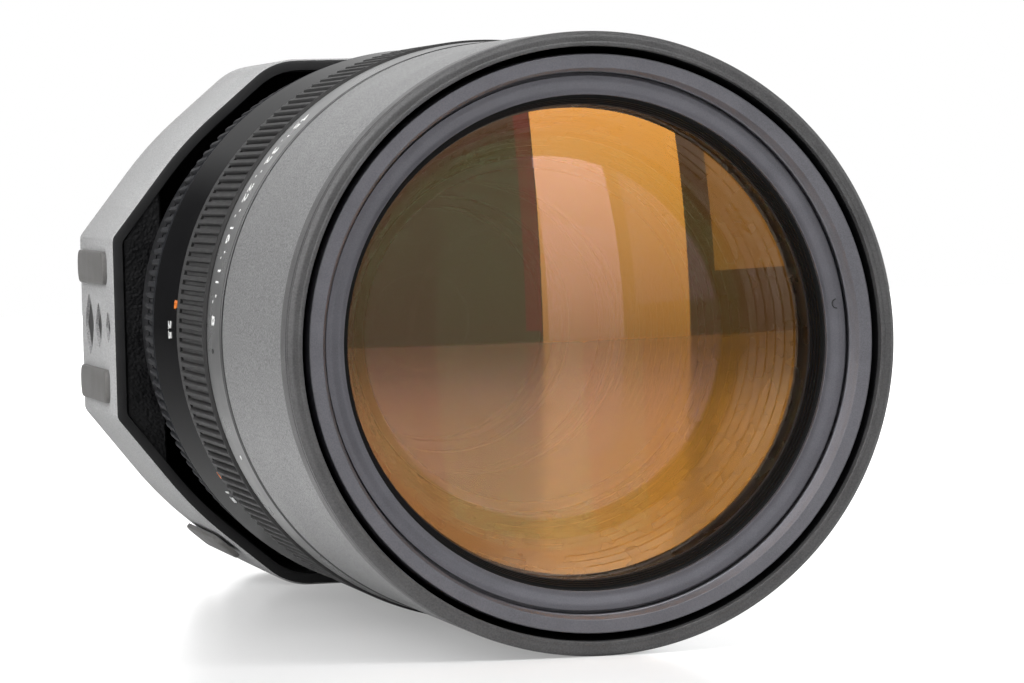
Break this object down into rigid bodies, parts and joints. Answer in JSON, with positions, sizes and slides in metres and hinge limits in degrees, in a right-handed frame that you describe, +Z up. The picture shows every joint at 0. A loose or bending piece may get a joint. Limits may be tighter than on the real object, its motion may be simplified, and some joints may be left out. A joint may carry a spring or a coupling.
{
  "type": "telephoto prime camera lens",
  "caption": "Long prime camera lens with a telescoping hood, ribbed aperture and focusing rings, a deep coated front element, a working iris and an octagonal rear housing with a bayonet mount.",
  "frame": {"origin": "centre of the rear bayonet's flange face, on the optical axis", "axes": "+Y along the optical axis towards the camera, so the lens looks along -Y; +X to the right seen from the front; +Z up, away from the flat it rests on"},
  "size_m": [0.1, 0.2204, 0.0978],
  "materials": {
    "hood_paint": "crinkle grey paint",
    "hood_rim": "dark satin",
    "felt": "flocked",
    "front_anodised": "satin anodised",
    "front_ring_black": "satin anodised",
    "flat_black": "matte black",
    "cell_black": "matte anodised",
    "coated_glass": "multi-coated",
    "barrel_black": "satin anodised",
    "scale_grey": "satin",
    "rib_grey": "satin anodised",
    "gloss_black": "gloss enamel",
    "grip_blue_grey": "satin",
    "steel": "plain",
    "blade_steel": "blued",
    "brass": "plain",
    "housing_grey": "fine-grained satin paint",
    "panel": "pebbled",
    "pad": "satin",
    "mount_chrome": "satin",
    "screw_steel": "plain",
    "dot_red": "gloss"
  },
  "bodies": {
    "mount_body": {"fixed_barrel": "barrel_black", "guide_keys": "brass", "index_ring": "barrel_black", "index_ring_screws": "screw_steel", "rear_tube": "barrel_black", "rear_light_trap": "flat_black", "rear_housing": "housing_grey", "side_panel_left": "panel", "side_panel_right": "panel", "grip_pads": "pad", "slot_inserts": "pad", "mount_flange": "mount_chrome", "mount_screws": "screw_steel", "mount_index_dot": "dot_red"},
    "focus_ring": {"focus_ring": "gloss_black", "focus_ring_screws": "screw_steel", "focus_grip": "grip_blue_grey"},
    "focus_barrel": {"filter_ring": "front_anodised", "name_ring": "front_ring_black", "front_light_trap": "flat_black", "front_cell": "cell_black", "front_retainer": "cell_black", "front_element": "coated_glass", "spacer_front": "cell_black", "second_element": "coated_glass", "spacer_rear": "cell_black", "third_element": "coated_glass", "front_light_tube": "flat_black", "front_barrel": "barrel_black", "aperture_scale_ring": "scale_grey", "detent_ball": "steel", "detent_spring": "steel", "iris_housing": "cell_black", "iris_cover": "cell_black", "rear_cell": "cell_black", "fourth_element": "coated_glass", "spacer_cell": "cell_black", "fifth_element": "coated_glass"},
    "aperture_ring": {"aperture_ring": "rib_grey", "aperture_link": "steel", "iris_cam_ring": "brass"},
    "lens_hood": {"lens_hood": "hood_paint", "hood_bumper_ring": "hood_rim", "hood_felt": "felt"},
    "iris_blade_1": {"iris_blade_1": "blade_steel"},
    "iris_blade_2": {"iris_blade_2": "blade_steel"},
    "iris_blade_3": {"iris_blade_3": "blade_steel"},
    "iris_blade_4": {"iris_blade_4": "blade_steel"},
    "iris_blade_5": {"iris_blade_5": "blade_steel"},
    "iris_blade_6": {"iris_blade_6": "blade_steel"},
    "iris_blade_7": {"iris_blade_7": "blade_steel"},
    "iris_blade_8": {"iris_blade_8": "blade_steel"},
    "iris_blade_9": {"iris_blade_9": "blade_steel"}
  },
  "joints": [
    {"name": "focus_turn", "type": "hinge", "parent": "mount_body", "child": "focus_ring", "pos_m": [0, -0.09, 0], "axis": [0, 1, 0], "range_deg": [0, 270]},
    {"name": "focus_travel", "type": "slide", "parent": "mount_body", "child": "focus_barrel", "axis": [0, -1, 0], "range_m": [0, 0.016]},
    {"name": "aperture_turn", "type": "hinge", "parent": "focus_barrel", "child": "aperture_ring", "pos_m": [0, -0.127, 0], "axis": [0, -1, 0], "range_deg": [0, 48]},
    {"name": "hood_slide", "type": "slide", "parent": "focus_barrel", "child": "lens_hood", "axis": [0, -1, 0], "range_m": [0, 0.043]},
    {"name": "blade_1_swing", "type": "hinge", "parent": "focus_barrel", "child": "iris_blade_1", "pos_m": [0.03541, -0.129, 0.00248], "axis": [0, -1, 0], "range_deg": [0, 33]},
    {"name": "blade_2_swing", "type": "hinge", "parent": "focus_barrel", "child": "iris_blade_2", "pos_m": [0.02554, -0.129, 0.02466], "axis": [0, -1, 0], "range_deg": [0, 33]},
    {"name": "blade_3_swing", "type": "hinge", "parent": "focus_barrel", "child": "iris_blade_3", "pos_m": [0.00371, -0.129, 0.03531], "axis": [0, -1, 0], "range_deg": [0, 33]},
    {"name": "blade_4_swing", "type": "hinge", "parent": "focus_barrel", "child": "iris_blade_4", "pos_m": [-0.01985, -0.129, 0.02943], "axis": [0, -1, 0], "range_deg": [0, 33]},
    {"name": "blade_5_swing", "type": "hinge", "parent": "focus_barrel", "child": "iris_blade_5", "pos_m": [-0.03412, -0.129, 0.00979], "axis": [0, -1, 0], "range_deg": [0, 33]},
    {"name": "blade_6_swing", "type": "hinge", "parent": "focus_barrel", "child": "iris_blade_6", "pos_m": [-0.03243, -0.129, -0.01444], "axis": [0, -1, 0], "range_deg": [0, 33]},
    {"name": "blade_7_swing", "type": "hinge", "parent": "focus_barrel", "child": "iris_blade_7", "pos_m": [-0.01556, -0.129, -0.03191], "axis": [0, -1, 0], "range_deg": [0, 33]},
    {"name": "blade_8_swing", "type": "hinge", "parent": "focus_barrel", "child": "iris_blade_8", "pos_m": [0.00859, -0.129, -0.03445], "axis": [0, -1, 0], "range_deg": [0, 33]},
    {"name": "blade_9_swing", "type": "hinge", "parent": "focus_barrel", "child": "iris_blade_9", "pos_m": [0.02872, -0.129, -0.02087], "axis": [0, -1, 0], "range_deg": [0, 33]}
  ],
  "couplings": [
    {"joint": "focus_travel", "follows": "focus_turn", "m_per_rad": 0.0033953},
    {"joint": "blade_1_swing", "follows": "aperture_turn", "ratio": 0.6875},
    {"joint": "blade_2_swing", "follows": "aperture_turn", "ratio": 0.6875},
    {"joint": "blade_3_swing", "follows": "aperture_turn", "ratio": 0.6875},
    {"joint": "blade_4_swing", "follows": "aperture_turn", "ratio": 0.6875},
    {"joint": "blade_5_swing", "follows": "aperture_turn", "ratio": 0.6875},
    {"joint": "blade_6_swing", "follows": "aperture_turn", "ratio": 0.6875},
    {"joint": "blade_7_swing", "follows": "aperture_turn", "ratio": 0.6875},
    {"joint": "blade_8_swing", "follows": "aperture_turn", "ratio": 0.6875},
    {"joint": "blade_9_swing", "follows": "aperture_turn", "ratio": 0.6875}
  ]
}
